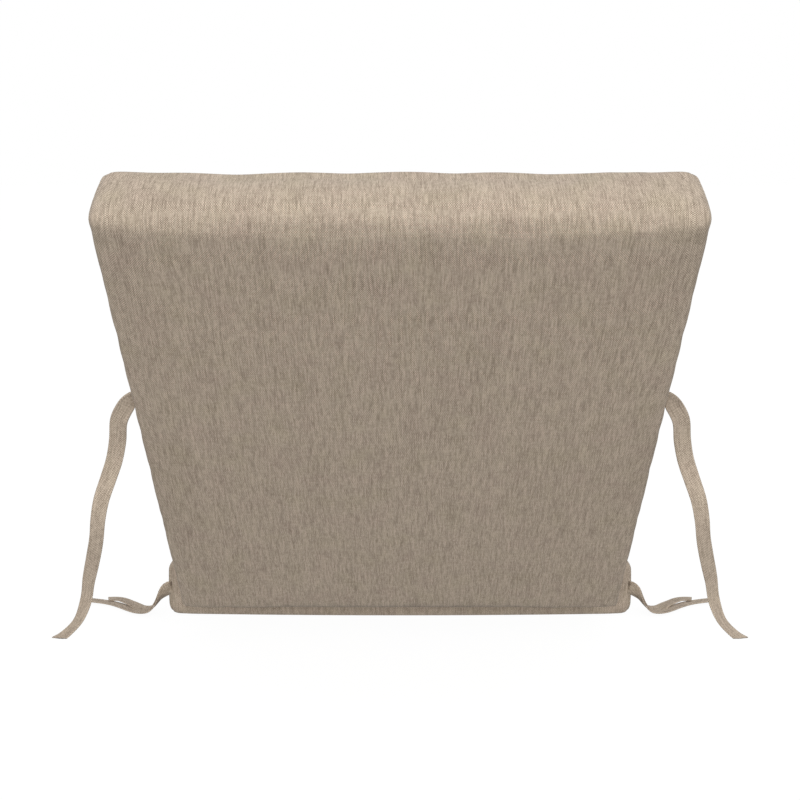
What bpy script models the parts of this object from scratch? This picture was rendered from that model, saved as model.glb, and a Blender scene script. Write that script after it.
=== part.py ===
"""A chaise lounge cushion: a flat seat section and a raised back section, joined by a sewn hinge.

The seat lies on the floor along +Y and the back leans away from it towards -Y. Metres, +Z up.
The origin is on the floor, at the middle of the box around the whole cushion. One ribbon tie hangs
from each side of the back, and a folded ribbon with two tails lies by each rear corner of the seat.
"""
import math

import bmesh
import bpy
import numpy as np
from mathutils import Matrix, Vector

# The cushion's sizes
BACK_WIDTH = 0.560
BACK_LENGTH = 0.622
SEAT_WIDTH = 0.630
SEAT_LENGTH = 1.207
THICKNESS = 0.077
BACK_LEAN = math.radians(33.8)  # from upright, away from the seat

# The softness of its form
EDGE = 0.016  # the band beside each edge that rounds off
SEAT_CROWN = 0.016  # how far the middle of the seat's cage stands proud on top
FRONT_CROWN = 0.014  # the same for the face of the back that is leant on
REAR_CROWN = 0.004  # and for the back's rear face
SEAT_DRAW_IN = 0.005  # how far the sides pull in between the corners
HINGE_GAP = 0.004  # between the two sections, before the hinge is sewn down
HINGE_DIP = 0.010  # how deep the sewn hinge lies below the top
HINGE_HALF = BACK_WIDTH / 2 - EDGE  # the hinge stops short of the back's side edges
SMOOTHING = 2  # subdivision levels

# The ribbon ties
TIE_WIDTH = 0.019
TIE_THICK = 0.0018
CLEARANCE = 0.0003  # between a tie's sewn end and the cloth that it is sewn to
FACET = 0.009  # the longest facet along a tie
SEWN = 0.020  # beside its sewn end the ribbon's threads run at a slant

# Routes of a left tie's middle line. Beside the hinge line (the seat's top rear edge) "out" is the
# distance from the cushion's middle towards -X, "along" is +Y and "up" is the height above the
# floor. "across" is the direction of the ribbon's width there, as X, Y and Z.
UPPER_ROUTE = (
    # out, along, up, across
    (0.2801, -0.2705, 0.3600, (0.00, 0.56, -0.83)),
    (0.2850, -0.2695, 0.3580, (0.10, 0.52, -0.83)),
    (0.2940, -0.2660, 0.3480, (0.60, 0.30, -0.75)),
    (0.3030, -0.2620, 0.3320, (0.90, 0.05, -0.40)),
    (0.3073, -0.2560, 0.3097, (1.00, -0.05, -0.15)),
    (0.3128, -0.2540, 0.2868, (0.95, -0.15, -0.25)),
    (0.3200, -0.2580, 0.2653, (0.90, -0.25, -0.30)),
    (0.3267, -0.2640, 0.2445, (0.90, -0.30, -0.25)),
    (0.3307, -0.2680, 0.2231, (0.90, -0.35, -0.10)),
    (0.3342, -0.2660, 0.1995, (0.88, -0.45, -0.10)),
    (0.3411, -0.2600, 0.1742, (0.82, -0.55, -0.15)),
    (0.3487, -0.2540, 0.1485, (0.75, -0.65, -0.15)),
    (0.3529, -0.2540, 0.1248, (0.70, -0.70, -0.10)),
    (0.3610, -0.2630, 0.1048, (0.65, -0.72, -0.20)),
    (0.3755, -0.2770, 0.0920, (0.60, -0.75, -0.15)),
    (0.3795, -0.2810, 0.0905, (0.58, -0.78, -0.12)),
)
LOWER_ROUTE = (
    # out, along, up, across; from the far tail's tip, in to the fold at the seam, out to the near tip
    (0.4110, 0.0540, 0.0030, (-0.05, -0.98, 0.15)),
    (0.3970, 0.0530, 0.0030, (-0.15, -0.98, 0.15)),
    (0.3800, 0.0450, 0.0030, (-0.50, -0.85, 0.12)),
    (0.3630, 0.0310, 0.0045, (-0.55, -0.80, 0.20)),
    (0.3490, 0.0200, 0.0110, (-0.50, -0.70, 0.50)),
    (0.3370, 0.0110, 0.0225, (-0.50, -0.35, 0.80)),
    (0.3245, 0.0045, 0.0330, (-0.30, -0.10, 0.95)),
    (0.3163, 0.0022, 0.0380, (-0.10, 0.00, 1.00)),
    (0.3138, 0.0006, 0.0387, (0.00, 0.00, 1.00)),
    (0.3155, -0.0014, 0.0380, (-0.10, 0.00, 1.00)),
    (0.3240, -0.0030, 0.0325, (-0.35, -0.10, 0.95)),
    (0.3340, -0.0015, 0.0200, (-0.50, -0.35, 0.80)),
    (0.3450, 0.0020, 0.0080, (-0.45, -0.75, 0.45)),
    (0.3570, 0.0055, 0.0035, (-0.25, -0.95, 0.12)),
    (0.3740, 0.0120, 0.0024, (-0.45, -0.88, 0.12)),
    (0.3900, 0.0230, 0.0024, (-0.50, -0.85, 0.14)),
    (0.4130, 0.0340, 0.0024, (-0.35, -0.93, 0.15)),
    (0.4420, 0.0420, 0.0024, (-0.20, -0.97, 0.15)),
)

# The cloth's colour and roughness
CLOTH_COLOUR = (0.42, 0.34, 0.26, 1.0)
TIE_COLOUR = (0.46, 0.38, 0.30, 1.0)
ROUGHNESS = 0.95


def clear_scene():
    for old in list(bpy.data.objects):
        bpy.data.objects.remove(old, do_unlink=True)


def cloth_material(name, colour):
    material = bpy.data.materials.new(name)
    material.use_nodes = True
    surface = material.node_tree.nodes["Principled BSDF"]
    surface.inputs["Base Color"].default_value = colour
    surface.inputs["Roughness"].default_value = ROUGHNESS
    surface.inputs["Metallic"].default_value = 0.0
    material.diffuse_color = colour
    return material


def add_object(collection, name, mesh, material):
    mesh.materials.append(material)
    mesh.shade_smooth()
    made = bpy.data.objects.new(name, mesh)
    collection.objects.link(made)
    return made


def section_cage(width, length, start, across_cuts):
    """One section's box, from y = start to start + length, with a loop of edges at each cut."""
    bm = bmesh.new()
    box = Matrix.Translation((0, start + length / 2, THICKNESS / 2)) @ Matrix.Diagonal(
        (width, length, THICKNESS, 1)
    )
    bmesh.ops.create_cube(bm, size=1, matrix=box)
    cuts = [(Vector((1, 0, 0)), x) for x in across_cuts]
    cuts += [(Vector((0, 1, 0)), start + y) for y in (EDGE, length / 2, length - EDGE)]
    cuts += [(Vector((0, 0, 1)), z) for z in (EDGE, THICKNESS - EDGE)]
    for normal, place in cuts:
        bmesh.ops.bisect_plane(
            bm,
            geom=bm.verts[:] + bm.edges[:] + bm.faces[:],
            dist=1e-6,
            plane_co=normal * place,
            plane_no=normal,
        )
    return bm


def soften(bm, width, length, start, crown, under, draw_in):
    """Raises the cage towards the middle of its faces and pulls its sides in between the corners."""
    for v in bm.verts:
        across = 1 - (v.co.x / (width / 2)) ** 2
        along = 1 - ((v.co.y - start - length / 2) / (length / 2)) ** 2
        if v.co.z > THICKNESS - 1e-6:
            v.co.z += crown * across * along
        elif v.co.z < 1e-6:
            v.co.z -= under * across * along
        if abs(v.co.x) > width / 2 - EDGE - 1e-6:
            v.co.x -= math.copysign(draw_in * along, v.co.x)


def open_hinge(bm, end):
    """Takes out the strip of the end face that the hinge joins, and sinks its outer edge."""
    strip = [
        f
        for f in bm.faces
        if all(abs(v.co.y - end) < 1e-6 for v in f.verts)
        and f.calc_center_median().z > THICKNESS - EDGE
        and abs(f.calc_center_median().x) < HINGE_HALF
    ]
    sunk = {v for f in strip for v in f.verts if v.co.z > THICKNESS - 1e-6}
    bmesh.ops.delete(bm, geom=strip, context="FACES_ONLY")
    for v in sunk:
        v.co.z = THICKNESS - HINGE_DIP


def cushion_mesh():
    """Seat and back as one filled solid, with the back turned up about the seat's top rear edge."""
    side = SEAT_WIDTH / 2 - EDGE
    seat = section_cage(SEAT_WIDTH, SEAT_LENGTH, 0, (-side, -HINGE_HALF, 0, HINGE_HALF, side))
    soften(seat, SEAT_WIDTH, SEAT_LENGTH, 0, SEAT_CROWN, 0, SEAT_DRAW_IN)
    open_hinge(seat, 0)

    start = -HINGE_GAP - BACK_LENGTH
    back = section_cage(BACK_WIDTH, BACK_LENGTH, start, (-HINGE_HALF, 0, HINGE_HALF))
    soften(back, BACK_WIDTH, BACK_LENGTH, start, FRONT_CROWN, REAR_CROWN, 0)
    open_hinge(back, -HINGE_GAP)
    turned_up = Matrix.Rotation(BACK_LEAN - math.pi / 2, 3, "X")
    bmesh.ops.rotate(back, cent=(0, 0, THICKNESS), matrix=turned_up, verts=back.verts[:])

    mesh = bpy.data.meshes.new("cushion")
    back.to_mesh(mesh)
    seat.from_mesh(mesh)
    rims = [e for e in seat.edges if e.is_boundary]
    bmesh.ops.bridge_loops(seat, edges=rims)
    bmesh.ops.recalc_face_normals(seat, faces=seat.faces[:])
    seat.to_mesh(mesh)
    seat.free()
    back.free()
    return mesh


def smooth_route(route, sewn):
    """Places and width directions on a curve through the route's points.

    The ribbon is square across but for the length sewn beside its first end, and it is laid on the
    floor where the route runs lower.
    """
    rows = np.array([(-out, along, up, *across) for out, along, up, across in route])
    before, after = 2 * rows[0] - rows[1], 2 * rows[-1] - rows[-2]
    rows = np.vstack([before, rows, after])
    found = []
    for a, b, c, d in zip(rows, rows[1:], rows[2:], rows[3:]):
        count = max(2, math.ceil(np.linalg.norm(c[:3] - b[:3]) / FACET))
        t = np.arange(count)[:, None] / count
        bend = t**2 * (a - 2.5 * b + 2 * c - d / 2) + t**3 * (1.5 * (b - c) + (d - a) / 2)
        found.append(b + t * (c - a) / 2 + bend)
    found = np.vstack(found + [rows[-2]])
    middle, across = found[:, :3], found[:, 3:]
    step = np.gradient(middle, axis=0)
    ahead = step / np.linalg.norm(step, axis=1)[:, None]
    gone = np.concatenate([[0], np.cumsum(np.linalg.norm(np.diff(middle, axis=0), axis=1))])
    square = np.minimum(1, gone / sewn) if sewn else np.ones(len(gone))
    across = across - (square * (across * ahead).sum(1))[:, None] * ahead
    across /= np.linalg.norm(across, axis=1)[:, None]
    lowest = middle[:, 2] - np.abs(across[:, 2]) * TIE_WIDTH / 2 - TIE_THICK / 2
    middle[:, 2] += np.maximum(0, CLEARANCE - lowest)
    return middle, across


def ribbon(collection, name, route, sewn, side, material):
    """A flat ribbon along its route; side is -1 on the left and 1 on the right."""
    middle, across = smooth_route(route, sewn)
    edges = np.stack([middle - across * TIE_WIDTH / 2, middle + across * TIE_WIDTH / 2], axis=1)
    edges[:, :, 0] *= -side
    bm = bmesh.new()
    bmesh.ops.create_grid(bm, x_segments=1, y_segments=len(middle) - 1, size=1)
    for v, place in zip(sorted(bm.verts, key=lambda v: (round(v.co.y, 5), v.co.x)), edges.reshape(-1, 3)):
        v.co = place
    mesh = bpy.data.meshes.new(name)
    bm.to_mesh(mesh)
    bm.free()
    made = add_object(collection, name, mesh, material)
    wall = made.modifiers.new("ribbon thickness", "SOLIDIFY")
    wall.thickness = TIE_THICK
    wall.offset = 0
    wall.use_even_offset = True
    return made


def evaluated_box(made):
    """The lowest and highest corner of an object's finished shape."""
    shown = made.evaluated_get(bpy.context.evaluated_depsgraph_get())
    points = np.array([made.matrix_world @ v.co for v in shown.data.vertices])
    return points.min(0), points.max(0)


def main():
    clear_scene()
    collection = bpy.data.collections.new("chaise_cushion")
    bpy.context.scene.collection.children.link(collection)

    cushion = add_object(collection, "cushion", cushion_mesh(), cloth_material("cushion_cloth", CLOTH_COLOUR))
    smooth = cushion.modifiers.new("soft form", "SUBSURF")
    smooth.levels = SMOOTHING
    smooth.render_levels = SMOOTHING

    ties = []
    for word, side in (("left", -1), ("right", 1)):
        for place, route, sewn in (("upper", UPPER_ROUTE, SEWN), ("lower", LOWER_ROUTE, 0)):
            name = f"{place}_tie_{word}"
            material = cloth_material(f"{name}_ribbon", TIE_COLOUR)
            ties.append(ribbon(collection, name, route, sewn, side, material))

    pieces = [cushion] + ties
    boxes = [evaluated_box(p) for p in pieces]
    low, high = np.min([b[0] for b in boxes], axis=0), np.max([b[1] for b in boxes], axis=0)
    for piece in pieces:
        piece.location.y = -(low[1] + high[1]) / 2


main()
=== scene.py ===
"""The looks of a chaise lounge cushion: its filled cover, four ribbon ties and a plain studio.

The seat lies on the floor along +Y and the back leans from it towards -Y. Metres, +Z up.
"""
import math
from functools import partial

import bpy
import numpy as np
from bpy.props import FloatProperty, FloatVectorProperty, IntProperty, PointerProperty
from bpy.types import Operator, Panel, PropertyGroup
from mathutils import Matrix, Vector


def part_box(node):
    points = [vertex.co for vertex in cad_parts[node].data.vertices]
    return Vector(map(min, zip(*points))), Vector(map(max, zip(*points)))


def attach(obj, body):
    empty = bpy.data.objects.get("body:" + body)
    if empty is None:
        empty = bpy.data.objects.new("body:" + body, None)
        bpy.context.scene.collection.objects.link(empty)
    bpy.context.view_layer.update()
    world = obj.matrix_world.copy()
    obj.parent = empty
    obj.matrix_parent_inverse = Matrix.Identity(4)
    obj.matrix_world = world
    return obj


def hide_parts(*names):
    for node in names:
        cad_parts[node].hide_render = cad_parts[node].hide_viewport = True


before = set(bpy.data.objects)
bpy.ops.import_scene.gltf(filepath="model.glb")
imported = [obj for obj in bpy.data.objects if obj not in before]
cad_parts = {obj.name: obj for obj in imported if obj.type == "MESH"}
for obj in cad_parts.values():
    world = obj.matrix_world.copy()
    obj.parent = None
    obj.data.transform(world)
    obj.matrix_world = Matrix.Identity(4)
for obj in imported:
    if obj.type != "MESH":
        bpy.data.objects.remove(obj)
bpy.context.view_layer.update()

bl_info = {
    "name": "Chaise Cushion",
    "version": (1, 0, 0),
    "blender": (4, 5, 0),
    "location": "3D View > Sidebar > Chaise Cushion",
    "description": "Dresses a two-part chaise cushion with its woven cover, ribbon ties and studio",
    "category": "Object",
}

CUSHION_LOW, CUSHION_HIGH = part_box("cushion")
CAD_WIDTH = CUSHION_HIGH.x - CUSHION_LOW.x

# The cover's plan. The hinge line is the seat's top rear edge.
SEAT_LENGTH = 1.207
HINGE_Y = CUSHION_HIGH.y - SEAT_LENGTH
HINGE_START = 0.004  # the back's bottom edge starts this far from the hinge line
SEAT_DRAW_IN = 0.0026  # how far the seat's sides pull in at their middle
# Each section's lower edge at the hinge comes forward: how far, and how flat its line stays across
SEAT_FOOT = (0.0070, 2)
BACK_FOOT = (0.0070, 8)
FOOT_REACH = 0.100  # how far from the hinge its coming forward fades away
CELL = 0.0128  # the cloth's grid away from its edges
EDGE_BAND = (0.0, 0.2, 0.43, 0.7, 1.0)  # grid lines beside an edge, as shares of the rounding
BAND = len(EDGE_BAND) - 1
HINGE_CELLS = 41
HINGE_DEPTH = 0.0100  # how deep the sewn hinge lies in the valley between the two sections
HINGE_WEB = 0.0065  # the sewn layers' thickness there
HINGE_STEP = 0.0018  # half the distance between the two sections' sewn rows
HINGE_PUCKER = 0.0006  # how high the hinge's puckers stand, and their wave lengths
PUCKER_WAVES = (0.031, 0.019, 0.047)
CLOTH_SEED = 7
TOUCH = 1e-6  # places closer together than this are the same

# Bumps along the back's far top edge: place along +X, height and half length
TOP_EDGE_BUMPS = (
    (0.000, 0.0013, 0.230), (-0.204, 0.0005, 0.018), (-0.153, -0.0012, 0.020),
    (-0.095, 0.0006, 0.018), (-0.049, -0.0008, 0.014), (0.005, 0.0007, 0.026),
    (0.050, -0.0008, 0.013), (0.092, 0.0006, 0.018), (0.140, -0.0009, 0.016),
    (0.195, 0.0011, 0.010), (0.221, 0.0010, 0.010),
)
# How round each section's edges are: beside the underside or rear face, then beside the top or
# front face, for the side edges, the hinge end, the free end, and the free end's corners across
SEAT_ROUNDING = ((0.0140, 0.0160), (0.0045, 0.0140), (0.0100, 0.0140), (0.0170, 0.0160))
BACK_ROUNDING = ((0.0045, 0.0240), (0.0070, 0.0150), (0.0080, 0.0055), (0.0045, 0.0270))
END_FLARE = 0.0016  # how far the back's free end spreads sideways at half its thickness
BUMP_REACH = (0.030, 0.022)  # how far the bumps reach along the back and through it
END_REACH = 0.040  # an end's rounding gives way to the side edges' within this distance
SIDE_REACH = 0.030  # the hinge end's corners keep the side edges' radius within this distance

# The side seams: how far the pulled-in groove and the gathers beside it reach, and the gathers'
# height and wave lengths
SEAM_REACH = 0.0020
GATHER_START = 0.0025
GATHER_REACH = 0.012
GATHER_HEIGHT = 0.00016
GATHER_WAVES = (0.0135, 0.021, 0.034)
GATHER_TURN = 0.8  # how much of a point's height counts towards its place along the seam

# The cover's cloth while the filling presses it out
FILLING_CLOTH = {
    "quality": 5,
    "mass": 0.3,
    "tension_stiffness": 18,
    "compression_stiffness": 12,
    "shear_stiffness": 6,
    "bending_stiffness": 0.6,
    "shrink_min": -0.004,
    "use_pressure": True,
}

# Routes of a left tie's middle line, as on the solids. Beside the hinge line, "out" is the distance
# from the cushion's middle towards -X, "along" is +Y and "up" the height. "across" stands for the
# last three numbers, the direction of the ribbon's width.
UPPER_ROUTE = (
    # out, along, up, across
    (0.2801, -0.2705, 0.3600, 0.00, 0.56, -0.83),
    (0.2848, -0.2695, 0.3580, 0.10, 0.52, -0.83),
    (0.2932, -0.2660, 0.3480, 0.60, 0.30, -0.75),
    (0.3017, -0.2620, 0.3320, 0.90, 0.05, -0.40),
    (0.3055, -0.2560, 0.3097, 1.00, -0.05, -0.15),
    (0.3109, -0.2540, 0.2868, 0.95, -0.15, -0.25),
    (0.3181, -0.2580, 0.2653, 0.90, -0.25, -0.30),
    (0.3248, -0.2640, 0.2445, 0.90, -0.30, -0.25),
    (0.3287, -0.2680, 0.2231, 0.90, -0.35, -0.10),
    (0.3323, -0.2660, 0.1995, 0.90, -0.42, -0.10),
    (0.3392, -0.2600, 0.1742, 0.88, -0.45, -0.15),
    (0.3468, -0.2540, 0.1485, 0.83, -0.54, -0.17),
    (0.3512, -0.2540, 0.1248, 0.77, -0.62, -0.12),
    (0.3582, -0.2630, 0.1048, 0.70, -0.70, 0.10),
    (0.3700, -0.2750, 0.0934, 0.74, -0.66, 0.10),
    (0.3800, -0.2820, 0.0884, 0.80, -0.60, 0.04),
)
LOWER_ROUTE = (
    # out, along, up, across; from the far tail's tip, in to the fold at the seam, out to the near tip
    (0.4125, 0.0485, 0.0030, -0.05, -0.98, 0.15),
    (0.4000, 0.0490, 0.0030, -0.10, -0.98, 0.15),
    (0.3897, 0.0455, 0.0032, -0.40, -0.90, 0.20),
    (0.3791, 0.0372, 0.0031, -0.60, -0.79, 0.21),
    (0.3682, 0.0280, 0.0029, -0.55, -0.82, 0.16),
    (0.3586, 0.0185, 0.0022, -0.40, -0.91, 0.00),
    (0.3512, 0.0140, 0.0026, -0.30, -0.95, -0.04),
    (0.3443, 0.0104, 0.0048, -0.10, -0.99, 0.02),
    (0.3390, 0.0076, 0.0094, 0.05, -0.98, 0.16),
    (0.3342, 0.0056, 0.0156, 0.08, -0.94, 0.30),
    (0.3302, 0.0044, 0.0212, 0.08, -0.88, 0.44),
    (0.3265, 0.0034, 0.0263, 0.06, -0.70, 0.68),
    (0.3230, 0.0027, 0.0314, 0.03, -0.46, 0.88),
    (0.3195, 0.0020, 0.0355, 0.00, -0.18, 0.98),
    (0.3158, 0.0014, 0.0376, 0.00, -0.05, 1.00),
    (0.3138, 0.0001, 0.0381, 0.00, 0.00, 1.00),
    (0.3158, -0.0012, 0.0374, 0.00, -0.05, 1.00),
    (0.3190, -0.0006, 0.0347, 0.00, -0.18, 0.98),
    (0.3218, 0.0006, 0.0301, 0.03, -0.46, 0.88),
    (0.3252, 0.0014, 0.0250, 0.06, -0.70, 0.68),
    (0.3290, 0.0022, 0.0197, 0.08, -0.88, 0.44),
    (0.3330, 0.0030, 0.0140, 0.08, -0.94, 0.30),
    (0.3374, 0.0020, 0.0090, 0.05, -0.97, 0.22),
    (0.3424, 0.0008, 0.0056, 0.00, -0.99, 0.14),
    (0.3488, 0.0004, 0.0044, 0.00, -0.99, 0.12),
    (0.3572, 0.0026, 0.0038, -0.15, -0.98, 0.14),
    (0.3677, 0.0090, 0.0032, -0.45, -0.88, 0.20),
    (0.3795, 0.0184, 0.0031, -0.58, -0.79, 0.20),
    (0.3918, 0.0276, 0.0030, -0.52, -0.83, 0.19),
    (0.4048, 0.0350, 0.0029, -0.38, -0.90, 0.18),
    (0.4200, 0.0406, 0.0028, -0.28, -0.94, 0.17),
    (0.4320, 0.0440, 0.0028, -0.22, -0.96, 0.17),
    (0.4430, 0.0464, 0.0028, -0.20, -0.96, 0.17),
)

# The weave. A noise's scale is in waves for each metre.
WEFT_SPACING = 1.13  # the weft's threads lie further apart than the warp's, by this factor
THREAD_BEND = 0.0010  # how far a thread strays from a straight line
BEND_SCALE = 7.0
WARP_FLECK = (0.0040, 0.16)  # how long a warp thread keeps one shade, and how strongly
WEFT_FLECK = (0.0030, 0.25)
WARP_DRIFT = 42.0  # the scale of a warp thread's slow change of shade
WEFT_DRIFT = 90.0
WARP_APART = 7.31  # how far apart in the noise neighbouring threads lie, so that each has its own shade
WEFT_APART = 5.17
WEFT_LAYER = 3.1
WEFT_NUMBERS = 531.0  # added to a weft thread's number, so that its flecks aren't a warp thread's
BAND_SCALES = (48.0, 5.0)  # the wide streaks, across and along the cloth
BAND_SHARE = 0.10
CLOUD_SCALE = 26.0
OLIVE = (0.82, 0.86, 0.70, 1.0)
ROSE = (0.90, 0.80, 0.86, 1.0)
OVER_SHARE = (0.45, 0.5)  # how much more a thread's shade shows where it passes over, and how much under
SHARE_SUM = 1.3  # what the shares of the upper and the lower thread add up to
# Painted shade of the weave's relief: the threads' rounded backs are painted paler and the gaps between
# them darker
PAINTED_GAP_SHADE = (0.30, -0.16)  # how much paler a thread's rounded back is than the gap, and the gap's shade
BACK_ROUGHNESS = (-0.10, 0.96)
CLOTH_FINISH = {"Sheen Weight": 0.10, "Sheen Roughness": 0.55, "Specular IOR Level": 0.22}
CLOTH_RELIEF = {"Strength": 0.55, "Distance": 0.0003}
# Painted shade in the pressed-in side seams' grooves: its darkest tone, and how wide and how deep it is
# painted
GROOVE_SHADE_TONE = (0.30, 0.26, 0.22, 1.0)
GROOVE_SHADE_PAINT = {"Width": 0.0022, "Depth": 0.16}
# How strongly the warp and the weft show their shades, how plain the chessboard is, and the clouds
COVER_LOOK = {"Slubs": 1.65, "Cross": 0.52, "Check": 0.55, "Mottle": 0.9}
TIE_LOOK = {"Slubs": 1.5, "Cross": 0.8, "Check": 0.65, "Mottle": 0.5}

TIE_STEP = 0.003  # the grid along a tie
TIE_CLOTH = {-1: 1.5, 1: 2.5}  # where in the weave the left and the right ties' cloth lies, along U
TIE_SEWN = 0.020  # within this length of its sewn end a ribbon's width follows the seam
TIE_ROOT = 0.004  # how far an upper tie's end reaches into the side seam
TIE_FLOOR = 0.0003  # a ribbon's underside stays this far above the floor
FOLD_REACH = (0.0035, 0.0030)  # how far a folded tie's fold lies in the seat's rounded corner
FOLD_EASE = 0.016  # the length of ribbon over which it gets there
# A ribbon's section from its middle to a folded edge: place across as a share of half its width,
# height as a share of half its thickness
TIE_SECTION = (
    (0.0, 0.76), (0.35, 0.74), (0.70, 0.66), (0.79, 0.93), (0.90, 0.97), (0.97, 0.62), (1.0, 0.0),
)

FLOOR_DROP = 0.0002  # the floor lies this far under the cushion's flat underside
FLOOR_WHITE = {"Base Color": (0.82, 0.82, 0.82, 1), "Roughness": 0.9, "Specular IOR Level": 0.0}
FLOOR_SEEN = 1.04  # how bright the floor's glow looks to the camera
GLOW_SHARE = 0.92  # how much of the floor is glow, and not lit white

# Each light's place across, along from the hinge line and up, and its width
OVERHEAD = ((0.9, -1.4, 2.6), 1.6)
FILL = ((0.0, -5.5, 2.2), 3.0)

# The photograph's camera: how far behind the hinge line, how high, and how far it looks down
PHOTO_BACK = 1.423
PHOTO_HEIGHT = 0.602
PHOTO_PITCH = math.radians(12.0)


def metres(name, default, description):
    return FloatProperty(name=name, description=description, default=default, unit="LENGTH")


def watts(name, default, description):
    return FloatProperty(name=name, description=description, default=default, unit="POWER")


def tone(name, default, description):
    return FloatVectorProperty(
        name=name, description=description, subtype="COLOR", size=4, min=0, max=1, default=default
    )


class CoverSettings(PropertyGroup):
    """Sizes and finish of the filled cover."""

    back_width: metres("Back width", 0.5650, "Width of the raised back section")
    back_length: metres("Back length", 0.622, "Length of the raised back section")
    seat_width: metres("Seat width", CAD_WIDTH + 0.002, "Width of the flat seat section")
    thickness: metres("Thickness", 0.077, "Thickness of both sections at their edges")
    lean: FloatProperty(
        name="Lean", description="How far the back leans from upright",
        subtype="ANGLE", unit="ROTATION", default=math.radians(33.8),
    )
    edge_band: metres("Edge band", 0.0180, "Width of the finer grid beside the edges")
    seat_crown: metres("Seat crown", 0.0060, "Rise in the middle of the seat's top")
    front_crown: metres("Front crown", 0.0050, "Rise in the middle of the face leant on")
    rear_crown: metres("Rear crown", 0.0010, "Rise in the middle of the back's rear face")
    end_crown: metres("End crown", 0.0032, "Rise in the middle of the free ends")
    pressure: FloatProperty(name="Filling", description="Pressure of the filling on the cover", default=4.0)
    swell: metres("Swell", 0.0032, "The most that the filling may push the cover")
    frames: IntProperty(name="Frames", description="Steps in which the filling settles", default=20)
    seam_depth: metres("Seam depth", 0.0007, "Depth of the pulled-in side seams")
    thread: metres("Thread", 0.001085, "Distance between the cloth's threads")
    light_thread: tone("Light thread", (0.690, 0.575, 0.455, 1), "Colour of the cloth's pale threads")
    dark_thread: tone("Dark thread", (0.190, 0.145, 0.105, 1), "Colour of the cloth's dark threads")


class TieSettings(PropertyGroup):
    """Sizes and finish of the ribbon ties."""

    width: metres("Width", 0.0190, "Width of a ribbon")
    thickness: metres("Thickness", 0.0018, "Thickness of a ribbon")
    upper_slant: metres("Upper slant", 0.011, "How far an upper tie's end is cut at a slant")
    lower_slant: metres("Lower slant", 0.004, "How far a lower tie's ends are cut at a slant")
    thread: metres("Thread", 0.001085, "Distance between the ribbon's threads")


class StudioSettings(PropertyGroup):
    """The floor, the lights and the camera."""

    floor_size: metres("Floor size", 60.0, "Width of the floor")
    surround: FloatProperty(
        name="Surround", description="Strength of the even light all round", default=0.72
    )
    floor_glow: FloatProperty(
        name="Floor glow", description="Light that the white floor throws back up", default=0.285
    )
    overhead: watts("Overhead", 9.0, "Power of the soft light above")
    fill: watts("Fill", 165.0, "Power of the low soft light behind the camera")
    lens: FloatProperty(name="Lens", description="The camera's focal length in millimetres", default=50.0)


# Shared shapes


def lattice_shell(xs, ls, ts):
    """The outside of a box of grid lines.

    Every crossing of the lines xs, ls and ts that lies on the box's outside is a point. Returns
    the table of point numbers, the points' line numbers and places.
    """
    shape = (len(xs), len(ls), len(ts))
    outside = np.zeros(shape, bool)
    for axis in range(3):
        for end in (0, -1):
            outside[(slice(None),) * axis + (end,)] = True
    number = np.full(shape, -1)
    number[outside] = np.arange(outside.sum())
    lines = np.argwhere(outside)
    places = np.stack([xs[lines[:, 0]], ls[lines[:, 1]], ts[lines[:, 2]]], axis=1)
    return number, lines, places


def side_quads(number, axis, end, mirrored):
    """The quads of one side of a lattice, facing out, as point numbers and as their two line numbers."""
    face = np.take(number, 0 if end == 0 else -1, axis=axis)
    cells = np.stack(np.meshgrid(*[np.arange(n - 1) for n in face.shape], indexing="ij"), axis=-1)
    corners = cells.reshape(-1, 1, 2) + np.array([(0, 0), (1, 0), (1, 1), (0, 1)])
    outward = (end == 1) != (axis == 1)
    if outward == mirrored:
        corners = corners[:, ::-1]
    return face[corners[..., 0], corners[..., 1]], corners


def smooth_step(value):
    """0 below 0, 1 above 1 and 3v² - 2v³ between."""
    value = np.clip(value, 0, 1)
    return value * value * (3 - 2 * value)


def waves(place, lengths, seed):
    """A sum of sines of the given wave lengths with seeded phases, as high as 1 for each length."""
    phases = np.random.default_rng(seed).uniform(0, math.tau, len(lengths))
    return sum(np.sin(math.tau * place / length + phase) for length, phase in zip(lengths, phases))


def new_mesh_object(name, points, faces, uvs):
    """A mesh object whose faces may have any number of corners; uvs has a row for each corner."""
    mesh = bpy.data.meshes.new(name)
    mesh.from_pydata(points.tolist(), [], faces)
    layer = mesh.uv_layers.new(name="weave")
    layer.data.foreach_set("uv", np.asarray(uvs, np.float32).ravel())
    mesh.shade_smooth()
    mesh.validate()
    made = bpy.data.objects.new(name, mesh)
    bpy.context.scene.collection.objects.link(made)
    return made


def read_vectors(items, key="co"):
    values = np.empty(len(items) * 3, np.float32)
    items.foreach_get(key, values)
    return values.reshape(-1, 3).astype(float)


def write_points(mesh, points):
    mesh.vertices.foreach_set("co", points.astype(np.float32).ravel())
    mesh.update()


# Shared materials


def new_group(name, inputs, outputs):
    """A node group with sockets of the given names and kinds, what it is given and its result."""
    group = bpy.data.node_groups.new(name, "ShaderNodeTree")
    for way, sockets in (("INPUT", inputs), ("OUTPUT", outputs)):
        for key, kind in sockets.items():
            group.interface.new_socket(name=key, in_out=way, socket_type="NodeSocket" + kind)
    return group, group.nodes.new("NodeGroupInput").outputs, group.nodes.new("NodeGroupOutput").inputs


def set_inputs(tree, node, values):
    """Sets a node's inputs, given by name or number. A value that is a socket is linked."""
    for key, value in values.items():
        if isinstance(value, bpy.types.NodeSocket):
            tree.links.new(value, node.inputs[key])
        else:
            node.inputs[key].default_value = value


def node_of(tree, kind, inputs, **settings):
    made = tree.nodes.new(kind)
    for key, value in settings.items():
        setattr(made, key, value)
    set_inputs(tree, made, inputs)
    return made


def maths(tree, operation, first, second=0.0, third=0.0):
    inputs = {0: first, 1: second, 2: third}
    return node_of(tree, "ShaderNodeMath", inputs, operation=operation).outputs[0]


def vector_of(tree, x, y, z=0.0):
    return node_of(tree, "ShaderNodeCombineXYZ", {0: x, 1: y, 2: z}).outputs[0]


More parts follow.
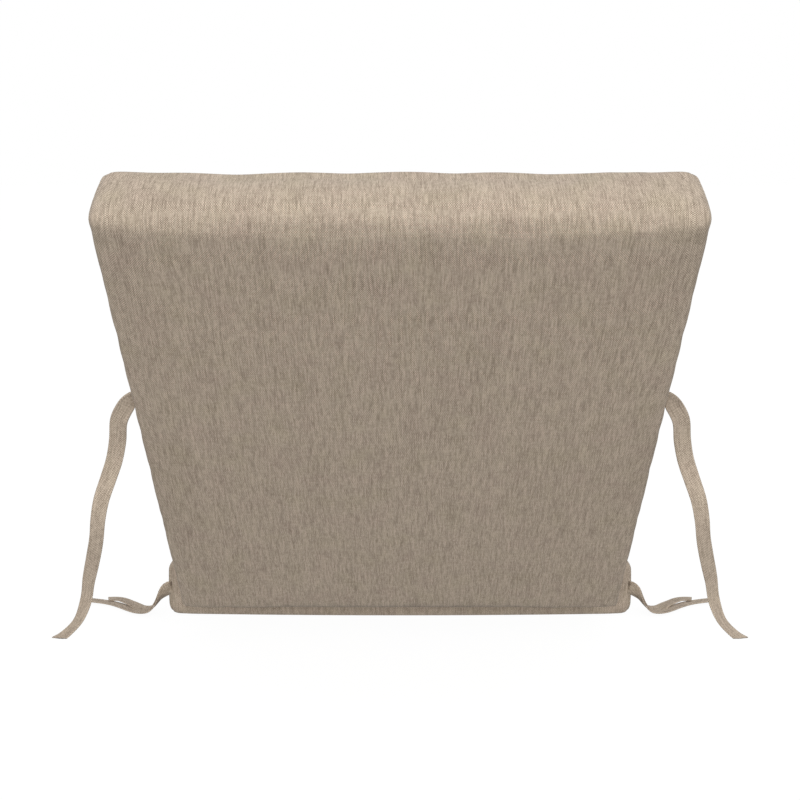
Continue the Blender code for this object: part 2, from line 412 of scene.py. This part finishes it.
def noise_at(tree, vector, scale, detail, roughness=0.5):
    """Noise around 0, from about -0.5 to 0.5."""
    inputs = {"Vector": vector, "Scale": scale, "Detail": detail, "Roughness": roughness}
    made = node_of(tree, "ShaderNodeTexNoise", inputs, noise_dimensions="3D")
    return maths(tree, "SUBTRACT", made.outputs[0], 0.5)


def mixed(tree, share, first, second, blend="MIX"):
    """The first colour at share 0 and the second at share 1, or the two blended by that much."""
    inputs = {0: share, 6: first, 7: second}
    return node_of(tree, "ShaderNodeMix", inputs, data_type="RGBA", blend_type=blend).outputs[2]


def chosen(tree, share, first, second):
    """The first value at share 0 and the second at share 1."""
    inputs = {0: share, 2: first, 3: second}
    return node_of(tree, "ShaderNodeMix", inputs, data_type="FLOAT").outputs[0]


def flecks(tree, number, along, length):
    """A thread's shade in steps of about the given length, from -0.5 to 0.5, with the steps of
    neighbouring threads out of line."""
    offset = maths(tree, "FRACT", maths(tree, "MULTIPLY", number, 0.618))
    step = maths(tree, "FLOOR", maths(tree, "ADD", maths(tree, "DIVIDE", along, length), offset))
    inputs = {"Vector": vector_of(tree, number, step)}
    made = node_of(tree, "ShaderNodeTexWhiteNoise", inputs, noise_dimensions="2D")
    return maths(tree, "SUBTRACT", made.outputs["Value"], 0.5)


def weave_group():
    """Plain weave on a cloth's own UV map, whose unit is a metre and whose V runs along the warp.

    Each warp thread and each weft thread gets its own shade, which drifts along the thread and makes
    the slubs. The threads pass over each other in turn, as a chessboard's fields. Where a thread
    passes over, its shade shows and its rounded back lifts the surface.
    """
    inputs = {"Vector": "Vector", "Thread": "Float", "Light": "Color", "Dark": "Color"}
    inputs.update(dict.fromkeys(COVER_LOOK, "Float"))
    outputs = {"Color": "Color", "Roughness": "Float", "Height": "Float"}
    group, given, result = new_group("plain_weave", inputs, outputs)
    place, thread, slubs = given["Vector"], given["Thread"], given["Slubs"]

    calc = partial(maths, group)
    times, plus, times_plus = (partial(calc, word) for word in ("MULTIPLY", "ADD", "MULTIPLY_ADD"))

    # Threads bend slowly from straight lines
    bend = times(noise_at(group, place, BEND_SCALE, 1.0), THREAD_BEND)
    parts = node_of(group, "ShaderNodeSeparateXYZ", {0: place}).outputs
    u = plus(parts[0], bend)
    v = plus(parts[1], bend)
    across = calc("DIVIDE", u, thread)
    along = calc("DIVIDE", v, times(thread, WEFT_SPACING))
    warp_number = calc("FLOOR", across)
    weft_number = calc("FLOOR", along)
    warp_back = calc("SINE", times(calc("FRACT", across), math.pi))
    weft_back = calc("SINE", times(calc("FRACT", along), math.pi))
    warp_over = calc("FLOORED_MODULO", plus(warp_number, weft_number), 2.0)

    # Each thread's own shade along its length: a drift with long and short runs, and flecks
    warp_place = vector_of(group, times(warp_number, WARP_APART), times(v, WARP_DRIFT))
    warp_drift = noise_at(group, warp_place, 1.0, 3.0, 0.58)
    warp_fleck = flecks(group, warp_number, v, WARP_FLECK[0])
    warp_shade = times_plus(warp_fleck, WARP_FLECK[1], warp_drift)
    weft_place = vector_of(group, times(u, WEFT_DRIFT), times(weft_number, WEFT_APART), WEFT_LAYER)
    weft_drift = noise_at(group, weft_place, 1.0, 2.0, 0.6)
    weft_fleck = flecks(group, plus(weft_number, WEFT_NUMBERS), u, WEFT_FLECK[0])
    weft_shade = times_plus(weft_fleck, WEFT_FLECK[1], weft_drift)
    # Wide streaks of many threads that lie lighter or darker together
    band_place = vector_of(group, times(u, BAND_SCALES[0]), times(v, BAND_SCALES[1]))
    band = noise_at(group, band_place, 1.0, 2.0, 0.55)

    # A thread shows its shade most where it passes over, and a little where it passes under
    over_share = times_plus(warp_over, *OVER_SHARE)
    under_share = calc("SUBTRACT", SHARE_SUM, over_share)
    shade = times(times(warp_shade, slubs), over_share)
    shade = times_plus(times(weft_shade, given["Cross"]), under_share, shade)
    shade = times_plus(times(band, slubs), BAND_SHARE, shade)
    shade = plus(shade, times(calc("SUBTRACT", warp_over, 0.5), given["Check"]))

    # Painted shade of the relief: the thread's rounded back is painted paler than the gap beside it, where
    # shade falls
    lifted = times(warp_back, times_plus(weft_back, 0.5, 0.5))
    sunk = times(weft_back, times_plus(warp_back, 0.5, 0.5))
    height = chosen(group, warp_over, sunk, lifted)
    share = plus(plus(shade, times_plus(height, *PAINTED_GAP_SHADE)), 0.5)
    clamped = node_of(group, "ShaderNodeClamp", {0: share}).outputs[0]
    colour = mixed(group, clamped, given["Dark"], given["Light"])

    # Soft clouds of olive and rose across the cloth
    cloud = times(noise_at(group, place, CLOUD_SCALE, 1.5, 0.5), given["Mottle"])
    for way, tint in ((1.0, OLIVE), (-1.0, ROSE)):
        colour = mixed(group, calc("MAXIMUM", times(cloud, way), 0.0), colour, tint, "MULTIPLY")
    group.links.new(colour, result["Color"])
    group.links.new(times_plus(height, *BACK_ROUGHNESS), result["Roughness"])
    group.links.new(times_plus(warp_shade, 0.5, height), result["Height"])
    return group


def paint_groove_shade_group():
    """Paints the shade of a seam's groove: darkens a colour by Depth at the seam, and less and less up to
    Width metres from it.
    """
    inputs = {"Color": "Color", "Distance": "Float", "Width": "Float", "Depth": "Float"}
    group, given, result = new_group("painted_groove_shade", inputs, {"Color": "Color"})
    near = maths(group, "SUBTRACT", 1.0, maths(group, "DIVIDE", given["Distance"], given["Width"]))
    near = maths(group, "MULTIPLY", maths(group, "MAXIMUM", near, 0.0), given["Depth"])
    group.links.new(mixed(group, near, given["Color"], GROOVE_SHADE_TONE, "MULTIPLY"), result["Color"])
    return group


def group_node(tree, name, build, values):
    """A node with the group of that name, which is built on its first use."""
    return node_of(tree, "ShaderNodeGroup", values, node_tree=bpy.data.node_groups.get(name) or build())


def new_material(name):
    """A material, its node tree and its shader."""
    material = bpy.data.materials.new(name)
    material.use_nodes = True
    return material, material.node_tree, material.node_tree.nodes["Principled BSDF"]


def cloth_material(name, thread, light, dark, look, seam):
    """Woven cloth: the weave group on the UV map, with painted shade beside the seams' grooves, and a soft
    sheen.
    """
    material, tree, surface = new_material(name)
    place = node_of(tree, "ShaderNodeUVMap", {}, uv_map="weave").outputs[0]
    values = {"Vector": place, "Thread": thread, "Light": light, "Dark": dark, **look}
    weave = group_node(tree, "plain_weave", weave_group, values).outputs
    colour = weave["Color"]
    # Painted shade in the seams' pressed-in grooves, darkest at the seam
    if seam:
        distance = node_of(tree, "ShaderNodeAttribute", {}, attribute_name="seam_distance").outputs["Fac"]
        values = {"Color": colour, "Distance": distance, **GROOVE_SHADE_PAINT}
        colour = group_node(tree, "painted_groove_shade", paint_groove_shade_group, values).outputs["Color"]
    bump = node_of(tree, "ShaderNodeBump", {"Height": weave["Height"], **CLOTH_RELIEF})
    shown = {"Base Color": colour, "Roughness": weave["Roughness"], "Normal": bump.outputs["Normal"]}
    set_inputs(tree, surface, {**CLOTH_FINISH, **shown})
    return material


# The cover


def edge_lines(low, high, rounding, inner):
    """Grid lines from low to high: a band of close lines at each end and inner lines between."""
    band = np.array(EDGE_BAND) * rounding
    return np.concatenate([low + band[:-1], inner, (high - band[:-1])[::-1]])


def section_lines(width, length, thickness, rounding, hinge_half):
    """The grid lines of one section across, along and through it."""

    def spread(low, high):
        return np.linspace(low, high, round((high - low) / CELL) + 1)

    half = width / 2
    middle = np.linspace(-hinge_half, hinge_half, HINGE_CELLS)
    beside = spread(hinge_half, half - rounding)[1:]
    xs = edge_lines(-half, half, rounding, np.concatenate([-beside[::-1], middle, beside]))
    ls = edge_lines(0, length, rounding, spread(rounding, length - rounding))
    ts = edge_lines(0, thickness, rounding, spread(rounding, thickness - rounding))
    return xs, ls, ts


def rounded(places, size, rounding):
    """A box's points with its edges rounded.

    Each point near an edge moves onto an ellipse about the line that lies the three radii inside
    the sides. The radii change smoothly from the lower face to the upper one, and from the side
    edges' to the ends' within reach of an end, but at the hinge end's corners the height's radius
    stays the side edges'. At the free end's corners the radius across grows with the third power of
    the height.
    """
    upper = smooth_step(places[:, 2] / size[2])

    def between(pair):
        return pair[0] + (pair[1] - pair[0]) * upper

    side, near_end, far_end = (between(pair) for pair in rounding[:3])
    at_far = places[:, 1] > size[1] / 2
    end = np.where(at_far, far_end, near_end)
    from_end = np.minimum(places[:, 1], size[1] - places[:, 1])
    by_end = smooth_step(1 - from_end / END_REACH)
    low_corner, high_corner = rounding[3]
    corner = low_corner + (high_corner - low_corner) * (places[:, 2] / size[2]) ** 3
    across = side + (corner - side) * by_end * at_far
    at_corner = smooth_step(1 - (size[0] / 2 - np.abs(places[:, 0])) / SIDE_REACH) * ~at_far
    through = side + (end - side) * by_end * (1 - at_corner)
    radii = np.stack([across, end, through], axis=1)
    low = np.array([-size[0] / 2, 0, 0]) + radii
    high = np.array([size[0] / 2, size[1], size[2]]) - radii
    inner = np.clip(places, low, high)
    out = (places - inner) / radii
    reach = np.linalg.norm(out, axis=1, keepdims=True)
    return inner + radii * out / np.maximum(reach, 1e-9)


def section_points(places, size, rounding, top_rise, under_rise, end_rise, foot, draw_in):
    """One section at rest: the rounded box, its faces raised by a crown, its sides drawn in.

    A crown is its height times the square root of (1 - x²) times (1 - l²), with x and l from -1 to
    1 over the face. At the hinge end the lower edge comes forward by a rise times (1 - |x|^p), with
    foot as the pair of the rise and p.
    """
    points = rounded(places, size, rounding)
    aside = np.abs(places[:, 0]) / (size[0] / 2)
    across = np.clip(1 - aside**2, 0, 1)
    along = np.clip(1 - (places[:, 1] / (size[1] / 2) - 1) ** 2, 0, 1)
    share = places[:, 2] / size[2]
    points[:, 2] += np.sqrt(across * along) * (top_rise * share - under_rise * (1 - share))
    at_end = np.clip(places[:, 1] / size[1] * 2 - 1, 0, 1) ** 8
    through = np.clip(1 - (2 * share - 1) ** 2, 0, 1)
    points[:, 1] += end_rise * at_end * np.sqrt(across * through)
    at_foot = np.clip(1 - places[:, 1] / FOOT_REACH, 0, 1) * (1 - share) ** 2
    foot_rise, power = foot
    points[:, 1] -= foot_rise * (1 - aside**power) * at_foot
    points[:, 0] -= np.sign(places[:, 0]) * draw_in * along * aside**2
    return points


def section_uvs(corners, axis, end, lines, lay):
    """UV places in metres. The wrap panel's V follows the section's outline; a side panel has its
    own patch of cloth, with V along the section."""
    xs, ls, ts = lines
    length, thick = ls[-1], ts[-1]
    first, second = corners[..., 0], corners[..., 1]
    if axis == 0:
        u, v = ts[second] + 2.0 + end, ls[first]
    elif axis == 1:
        u = xs[first]
        v = length + thick - ts[second] if end == 1 else ts[second] - thick
    else:
        u = xs[first]
        v = ls[second] if end == 1 else 2 * length + thick - ls[second]
    return np.stack([u, v * lay], axis=-1)


def section_shell(size, band, hinge_half, rounding, shape, lay):
    """One section's points and quads, with each quad's UV corners and the number of its side.

    With lay -1 the quads are turned over and V runs the other way.
    """
    lines = section_lines(*size, band, hinge_half)
    number, marks, places = lattice_shell(*lines)
    found = {"quads": [], "uvs": [], "sides": []}
    for axis in range(3):
        for end in (0, 1):
            quads, corners = side_quads(number, axis, end, lay < 0)
            found["quads"].append(quads)
            found["uvs"].append(section_uvs(corners, axis, end, lines, lay))
            found["sides"].append(np.full(len(quads), axis * 2 + end))
    shell = {key: np.concatenate(parts) for key, parts in found.items()}
    shell.update(size=size, number=number, marks=marks, places=places)
    shell["points"] = section_points(places, size, rounding, *shape)
    shell["columns"] = np.flatnonzero(np.abs(lines[0]) < hinge_half + TOUCH)
    return shell


def hinge_loop(shell):
    """The open strip's rim as point numbers: out along the top row and back along the lower one."""
    strip = shell["number"][shell["columns"], 0, -1 - BAND :]
    return np.concatenate([strip[:, -1], strip[-1, -2:0:-1], strip[::-1, 0], strip[0, 1:-1]])


def open_strip(shell):
    """Drops the end quads that the hinge joins."""
    corner = shell["marks"][shell["quads"]]
    across, through = corner[..., 0], corner[..., 2]
    first, last = shell["columns"][[0, -1]]
    inside = (across.min(1) >= first) & (across.max(1) <= last)
    at_end = (shell["sides"] == 2) & (through.min(1) >= shell["number"].shape[2] - 1 - BAND)
    for key in ("quads", "uvs", "sides"):
        shell[key] = shell[key][~(inside & at_end)]


def sink_hinge(shell, valley, web, half):
    """Lays the open strip's rows into the valley, across the web's thickness, with their puckers."""
    points = shell["points"]
    for row in range(BAND + 1):
        ids = shell["number"][shell["columns"], 0, -1 - row]
        share = row / BAND
        pucker = HINGE_PUCKER * waves(points[ids, 0], PUCKER_WAVES, CLOTH_SEED + row)
        points[ids, 1:] = valley + web * share
        points[ids, 2] += pucker * (1 - share)
        points[ids, 0] = np.clip(points[ids, 0], -half, half)


def build_cover_mesh(settings):
    """Seat and back as one closed surface: two lattice shells joined by the hinge's web.

    The back is made flat like the seat, from its bottom edge to its top end, and then turned up
    about the hinge line by 90 degrees less its lean.
    """
    thick, band, crown = settings.thickness, settings.edge_band, settings.end_crown
    hinge_half = settings.back_width / 2 - band
    turn = settings.lean - math.pi / 2
    cos, sin = math.cos(turn), math.sin(turn)
    seat = section_shell(
        (settings.seat_width, SEAT_LENGTH, thick), band, hinge_half, SEAT_ROUNDING,
        (settings.seat_crown, 0.0, crown, SEAT_FOOT, SEAT_DRAW_IN), 1.0,
    )
    back = section_shell(
        (settings.back_width, settings.back_length, thick), band, hinge_half, BACK_ROUNDING,
        (settings.front_crown, settings.rear_crown, crown, BACK_FOOT, 0.0), -1.0,
    )
    shape_free_end(back)

    points = back["points"]
    flat_y, flat_z = -HINGE_START - points[:, 1], points[:, 2] - thick
    points[:, 1] = flat_y * cos - flat_z * sin
    points[:, 2] = flat_y * sin + flat_z * cos + thick

    # The valley's floor lies behind the hinge line, on the line that halves its opening
    opening = np.array([1.0 - math.sin(settings.lean), math.cos(settings.lean)])
    inward = -opening / np.linalg.norm(opening)
    beside = np.array([-inward[1], inward[0]])
    valley = np.array([0.0, thick]) + inward * HINGE_DEPTH
    for shell, way in ((seat, 1), (back, -1)):
        open_strip(shell)
        sink_hinge(shell, valley + beside * HINGE_STEP * way, inward * HINGE_WEB, hinge_half)
        shell["loop"] = hinge_loop(shell)

    offset = len(seat["points"])
    points = np.concatenate([seat["points"], back["points"]])
    points[:, 1] += HINGE_Y
    from_seat, from_back = seat["loop"], back["loop"] + offset
    bridge = np.stack([from_seat, np.roll(from_seat, -1), np.roll(from_back, -1), from_back], axis=1)
    bridge_uvs = np.stack([points[bridge, 0], points[bridge, 1] - HINGE_Y], axis=-1)
    quads = np.concatenate([seat["quads"], back["quads"] + offset, bridge])
    uvs = np.concatenate([seat["uvs"], back["uvs"], bridge_uvs])

    distance = np.concatenate([seam_distance(seat), seam_distance(back)])
    return points, quads, uvs, distance, sewn_weights(seat, back, distance)


def shape_free_end(back):
    """Raises and lowers the back's far top edge by a row of soft bumps, strongest at the edge.

    The end's sides also spread by END_FLARE times 4 t (1 - t), with t from 0 to 1 through the back.
    """
    places, points, size = back["places"], back["points"], back["size"]
    through = places[:, 2] / size[2]
    at_side = (np.abs(places[:, 0]) / (size[0] / 2)) ** 6
    by_end = smooth_step(1 - (size[1] - places[:, 1]) / END_REACH)
    points[:, 0] += np.sign(places[:, 0]) * END_FLARE * 4 * through * (1 - through) * at_side * by_end
    rise = np.zeros(len(points))
    for place, height, half in TOP_EDGE_BUMPS:
        rise += height * np.exp(-(((places[:, 0] - place) / half) ** 2))
    from_edge = (np.array(size[1:]) - places[:, 1:]) / BUMP_REACH
    near = np.exp(-(from_edge**2).sum(1))
    points[:, 1] += rise * near
    points[:, 2] += 0.5 * rise * near


def seam_distance(shell):
    """Each point's distance along the cloth from its section's nearest side seam."""
    x, along, up = shell["places"].T
    width, length, thick = shell["size"]
    from_side = width / 2 - np.abs(x)
    inside = np.minimum(np.minimum(up, thick - up), np.minimum(along, length - along))
    return np.where(from_side < TOUCH, inside, from_side)


def sewn_weights(seat, back, distance):
    """1 where the cover can't swell: seams, the hinge and the seat's flat underside."""
    weights = np.where(distance < TOUCH, 1.0, 0.0)
    count = len(seat["points"])
    weights[:count][seat["places"][:, 2] < TOUCH] = 1.0
    weights[seat["loop"]] = 1.0
    weights[back["loop"] + count] = 1.0
    return weights


def fill_cover(cover, pinned, settings):
    """Lets the filling press the cover out by a cloth simulation, with the sewn points held.

    A point's shift d becomes swell times tanh(d / swell) along the same direction.
    """
    rest = read_vectors(cover.data.vertices)
    held = cover.vertex_groups.new(name="sewn")
    held.add(np.flatnonzero(pinned > 0).tolist(), 1.0, "REPLACE")
    cloth = cover.modifiers.new("filling", "CLOTH")
    cloth.settings.vertex_group_mass = held.name
    for key, value in FILLING_CLOTH.items():
        setattr(cloth.settings, key, value)
    cloth.settings.uniform_pressure_force = settings.pressure
    cloth.settings.effector_weights.gravity = 0.0
    cloth.collision_settings.use_collision = False
    cloth.point_cache.frame_start = 1
    cloth.point_cache.frame_end = settings.frames
    scene = bpy.context.scene
    for step in range(1, settings.frames + 1):
        scene.frame_set(step)
    shown = cover.evaluated_get(bpy.context.evaluated_depsgraph_get())
    swollen = read_vectors(shown.data.vertices)
    cover.modifiers.remove(cloth)
    cover.vertex_groups.clear()
    scene.frame_set(1)
    shift = swollen - rest
    reach = np.linalg.norm(shift, axis=1, keepdims=True)
    if not np.isfinite(reach).all() or reach.max() < 1e-5:
        raise RuntimeError("the filling didn't settle")
    kept = shift * (settings.swell * np.tanh(reach / settings.swell) / np.maximum(reach, 1e-9))
    write_points(cover.data, rest + kept)


def subdivide(made):
    """One subdivision, applied, with UVs kept straight."""
    finer = made.modifiers.new("finer", "SUBSURF")
    finer.levels = finer.render_levels = 1
    finer.uv_smooth = "NONE"
    finer.boundary_smooth = "PRESERVE_CORNERS"
    shown = made.evaluated_get(bpy.context.evaluated_depsgraph_get())
    mesh = bpy.data.meshes.new_from_object(shown)
    made.modifiers.clear()
    old = made.data
    made.data = mesh
    bpy.data.meshes.remove(old)
    mesh.name = made.name


def pull_in_seams(cover, settings):
    """Presses the side seams in and gathers the cloth beside them.

    The press is the seam's depth times exp(-(d / reach)²), with d the distance from the seam. The
    gathers are short waves along the seam that begin beside it and fade with the distance.
    """
    mesh = cover.data
    points, normals = read_vectors(mesh.vertices), read_vectors(mesh.vertex_normals, "vector")
    distance = np.empty(len(points), np.float32)
    mesh.attributes["seam_distance"].data.foreach_get("value", distance)
    groove = settings.seam_depth * np.exp(-((distance / SEAM_REACH) ** 2))
    along = points[:, 1] + GATHER_TURN * points[:, 2]
    gather = waves(along, GATHER_WAVES, CLOTH_SEED + 11) / len(GATHER_WAVES)
    fade = np.exp(-distance / GATHER_REACH) * (1 - np.exp(-((distance / GATHER_START) ** 2)))
    moved = points + normals * (GATHER_HEIGHT * gather * fade - groove)[:, None]
    moved[:, 2] = np.maximum(moved[:, 2], 0.0)
    write_points(mesh, moved)


class CHAISE_OT_cover(Operator):
    """Make the filled cover of the seat and the back"""

    bl_idname = "chaise.cover"
    bl_label = "Make Cover"

    def execute(self, context):
        settings = context.scene.chaise_cover
        points, quads, uvs, distance, pinned = build_cover_mesh(settings)
        cover = new_mesh_object("cushion_cover", points, quads.tolist(), uvs)
        shade = cover.data.attributes.new("seam_distance", "FLOAT", "POINT")
        shade.data.foreach_set("value", distance.astype(np.float32))
        fill_cover(cover, pinned, settings)
        subdivide(cover)
        pull_in_seams(cover, settings)
        material = cloth_material(
            "cover_weave", settings.thread, settings.light_thread, settings.dark_thread, COVER_LOOK, True
        )
        cover.data.materials.append(material)
        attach(cover, "root")
        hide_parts("cushion")
        return {"FINISHED"}


# The ties


def unit(rows):
    return rows / np.linalg.norm(rows, axis=1, keepdims=True)


def distances(points):
    """How far along a line each of its points lies."""
    return np.concatenate([[0.0], np.cumsum(np.linalg.norm(np.diff(points, axis=0), axis=1))])


def curve_through(rows):
    """Places on a smooth curve through the rows, whose first three columns are a point.

    Between two rows it is the cubic that leaves each of them in the direction of its neighbours.
    Returns the curve's rows and the distance gone along them.
    """
    rows = np.vstack([2 * rows[0] - rows[1], rows, 2 * rows[-1] - rows[-2]])
    found = []
    for a, b, c, d in zip(rows, rows[1:], rows[2:], rows[3:]):
        count = max(2, math.ceil(np.linalg.norm(c[:3] - b[:3]) / TIE_STEP))
        t = np.arange(count)[:, None] / count
        bend = t**2 * (a - 2.5 * b + 2 * c - d / 2) + t**3 * (1.5 * (b - c) + (d - a) / 2)
        found.append(b + t * (c - a) / 2 + bend)
    found = np.vstack(found + [rows[-2]])
    return found, distances(found[:, :3])


def tie_frames(route, sewn):
    """A tie's middle line, width directions and distances, for the left side."""
    found, gone = curve_through(np.array(route) * (-1, 1, 1, 1, 1, 1))
    middle, across = found[:, :3], found[:, 3:]
    middle[:, 1] += HINGE_Y
    ahead = unit(np.gradient(middle, axis=0))
    square = np.minimum(1, gone / sewn) if sewn else np.ones(len(gone))
    return middle, unit(across - (square * (across * ahead).sum(1))[:, None] * ahead), gone


def ribbon_surface(middle, across, gone, settings, slant, cut_start):
    """A ribbon as a grid: the section's closed outline carried along the middle line.

    A point is middle(s) + across(s) * w + normal(s) * h, with (w, h) on the section's outline. Near
    a free end s also runs back across the width, which cuts the end at a slant. The last end is
    always free.
    """
    section = np.array(TIE_SECTION) * (settings.width / 2, settings.thickness / 2)
    section = np.vstack([section[:0:-1] * (-1, 1), section])
    outline = np.vstack([section, section[-2:0:-1] * (1, -1)])
    count = int(round(gone[-1] / TIE_STEP))
    s = np.linspace(0, gone[-1], count + 1)[:, None] * np.ones(len(outline))
    across_share = 0.5 + outline[:, 0] / settings.width
    reach = 3 * slant
    s -= slant * across_share * smooth_step((s - gone[-1] + reach) / reach)
    if cut_start:
        s += slant * across_share * smooth_step((reach - s) / reach)

    def at(values):
        return np.stack([np.interp(s, gone, values[:, i]) for i in range(3)], axis=-1)

    normal = unit(np.cross(np.gradient(middle, axis=0), across))
    points = at(middle) + at(across) * outline[:, 0, None] + at(normal) * outline[:, 1, None]
    points[..., 2] += np.maximum(0, TIE_FLOOR - points[..., 2].min(1))[:, None]
    return points, s, outline


def tube_faces(rows, around):
    """Quads of a grid that closes round its second direction, and the two ends' flat caps."""
    ids = np.arange(rows * around).reshape(rows, around)
    turned = np.roll(ids, -1, axis=1)
    quads = np.stack([ids[:-1], turned[:-1], turned[1:], ids[1:]], axis=-1).reshape(-1, 4)
    return quads, ids[0][::-1], ids[-1]


def make_tie(name, route, sewn, slant, side, settings):
    """One ribbon tie, sewn on at its start or else, with sewn 0, at its middle fold.

    side is -1 on the left and 1 on the right, whose shape is mirrored.
    """
    middle, across, gone = tie_frames(route, sewn)
    if sewn:
        root = middle[0] + np.array([TIE_ROOT, 0, 0])
        middle, across = np.vstack([root, middle]), np.vstack([across[0], across])
        gone = np.concatenate([[0.0], gone + TIE_ROOT])
    else:
        from_fold = gone - gone[np.argmax(middle[:, 0])]
        middle[:, :2] += np.exp(-((from_fold / FOLD_EASE) ** 2))[:, None] * np.array(FOLD_REACH)
    points, s, outline = ribbon_surface(middle, across, gone, settings, slant, not sewn)
    rows, around = s.shape
    quads, start_cap, end_cap = tube_faces(rows, around)
    flat_u = distances(outline)
    grid_u = np.tile(flat_u, (rows, 1)).ravel()
    grid_v = s.ravel()
    u, v = grid_u[quads], grid_v[quads]
    last = (quads % around)[:, 0] == around - 1
    u[last, 1:3] = flat_u[-1] + settings.thickness / 2
    caps = (start_cap, end_cap)
    faces = [*quads, *caps]
    uvs = [*np.stack([u, v], axis=-1)]
    uvs += [np.stack([outline[cap % around, 0], grid_v[cap]], axis=-1) for cap in caps]
    points = points.reshape(-1, 3)
    if side > 0:
        points = points * (-1, 1, 1)
        faces, uvs = [face[::-1] for face in faces], [rows[::-1] for rows in uvs]
    uvs = np.concatenate(uvs) + (TIE_CLOTH[side], 0)
    return new_mesh_object(name, points, [face.tolist() for face in faces], uvs), gone[-1]


def face_outwards(made):
    """Turns a closed mesh the right way out when its volume comes out negative."""
    mesh = made.data
    points = read_vectors(mesh.vertices)
    mesh.calc_loop_triangles()
    corners = np.empty(len(mesh.loop_triangles) * 3, np.int32)
    mesh.loop_triangles.foreach_get("vertices", corners)
    a, b, c = points[corners.reshape(-1, 3)].transpose(1, 0, 2)
    if np.einsum("ij,ij->i", a, np.cross(b, c)).sum() < 0:
        mesh.flip_normals()


class CHAISE_OT_ties(Operator):
    """Make the two hanging ties and the two folded ties"""

    bl_idname = "chaise.ties"
    bl_label = "Make Ties"

    def execute(self, context):
        settings, cover = context.scene.chaise_ties, context.scene.chaise_cover
        material = cloth_material(
            "tie_weave", settings.thread, cover.light_thread, cover.dark_thread, TIE_LOOK, False
        )
        kinds = (
            ("upper", UPPER_ROUTE, TIE_SEWN, settings.upper_slant, "hung"),
            ("lower", LOWER_ROUTE, 0.0, settings.lower_slant, "laid"),
        )
        for word, side in (("left", -1), ("right", 1)):
            for place, route, sewn, slant, held in kinds:
                name = f"{place}_tie_{word}"
                tie, length = make_tie(f"{place}_ribbon_{word}", route, sewn, slant, side, settings)
                face_outwards(tie)
                tie.data.materials.append(material)
                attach(tie, "root")
                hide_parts(name)
        return {"FINISHED"}


# The studio


def studio_light(name, place_and_width, power):
    """A square area light beside the hinge line, turned to the cushion's middle."""
    (across, along, up), width = place_and_width
    data = bpy.data.lights.new(name, "AREA")
    data.size = width
    data.energy = power
    made = bpy.data.objects.new(name, data)
    made.location = (across, HINGE_Y + along, up)
    aim = (CUSHION_LOW + CUSHION_HIGH) / 2 - made.location
    made.rotation_euler = aim.to_track_quat("-Z", "Y").to_euler()
    bpy.context.scene.collection.objects.link(made)


def by_ray(tree, lit, seen):
    """A strength that is seen by the camera's rays, and lit for all the others."""
    rays = tree.nodes.new("ShaderNodeLightPath").outputs["Is Camera Ray"]
    return chosen(tree, rays, lit, seen)


def white_surround(strength):
    """An even white world: the camera sees plain white, the cushion gets the given strength."""
    world = bpy.data.worlds.new("surround")
    bpy.context.scene.world = world
    world.use_nodes = True
    tree = world.node_tree
    values = {"Color": (1, 1, 1, 1), "Strength": by_ray(tree, strength, 1.0)}
    set_inputs(tree, tree.nodes["Background"], values)


def floor_material(glow_strength):
    """Pale matt floor: white to the camera but for a faint contact shadow, evenly bright to the rest."""
    material, tree, surface = new_material("floor_white")
    set_inputs(tree, surface, FLOOR_WHITE)
    glow = node_of(tree, "ShaderNodeEmission", {"Strength": by_ray(tree, glow_strength, FLOOR_SEEN)})
    inputs = {0: GLOW_SHARE, 1: surface.outputs[0], 2: glow.outputs[0]}
    both = node_of(tree, "ShaderNodeMixShader", inputs)
    tree.links.new(both.outputs[0], tree.nodes["Material Output"].inputs["Surface"])
    return material


class CHAISE_OT_studio(Operator):
    """Make the floor, the lights and the camera"""

    bl_idname = "chaise.studio"
    bl_label = "Make Studio"

    def execute(self, context):
        settings, scene = context.scene.chaise_studio, context.scene
        half = settings.floor_size / 2
        corners = np.array([(-1, -1, 0), (1, -1, 0), (1, 1, 0), (-1, 1, 0)]) * half - (0, 0, FLOOR_DROP)
        floor = new_mesh_object("floor", corners, [[0, 1, 2, 3]], corners[:, :2])
        floor.data.materials.append(floor_material(settings.floor_glow))
        white_surround(settings.surround)
        studio_light("overhead", OVERHEAD, settings.overhead)
        studio_light("fill", FILL, settings.fill)

        camera = bpy.data.objects.new("photo_camera", bpy.data.cameras.new("photo_camera"))
        camera.data.lens = settings.lens
        camera.location = (0, HINGE_Y - PHOTO_BACK, PHOTO_HEIGHT)
        camera.rotation_euler = (math.pi / 2 - PHOTO_PITCH, 0, 0)
        scene.collection.objects.link(camera)
        scene.camera = camera
        scene.view_settings.view_transform = "Standard"
        # Keeps the weave crisp where the picture's noise is cleaned
        scene.cycles.denoising_prefilter = "NONE"
        return {"FINISHED"}


class CHAISE_PT_panel(Panel):
    """The chaise cushion's settings and steps"""

    bl_idname = "CHAISE_PT_panel"
    bl_label = "Chaise Cushion"
    bl_space_type = "VIEW_3D"
    bl_region_type = "UI"
    bl_category = "Chaise Cushion"

    def draw(self, context):
        scene = context.scene
        steps = (
            (scene.chaise_studio, CHAISE_OT_studio),
            (scene.chaise_cover, CHAISE_OT_cover),
            (scene.chaise_ties, CHAISE_OT_ties),
        )
        for settings, operator in steps:
            box = self.layout.box()
            for key in settings.__annotations__:
                box.prop(settings, key)
            box.operator(operator.bl_idname)


SETTINGS = {"chaise_cover": CoverSettings, "chaise_ties": TieSettings, "chaise_studio": StudioSettings}
CLASSES = (*SETTINGS.values(), CHAISE_OT_cover, CHAISE_OT_ties, CHAISE_OT_studio, CHAISE_PT_panel)


def register():
    for entry in CLASSES:
        bpy.utils.register_class(entry)
    for key, group in SETTINGS.items():
        setattr(bpy.types.Scene, key, PointerProperty(type=group))


def unregister():
    for key in SETTINGS:
        delattr(bpy.types.Scene, key)
    for entry in reversed(CLASSES):
        bpy.utils.unregister_class(entry)


def main():
    register()
    bpy.ops.chaise.studio()
    bpy.ops.chaise.cover()
    bpy.ops.chaise.ties()


if __name__ == "__main__":
    main()
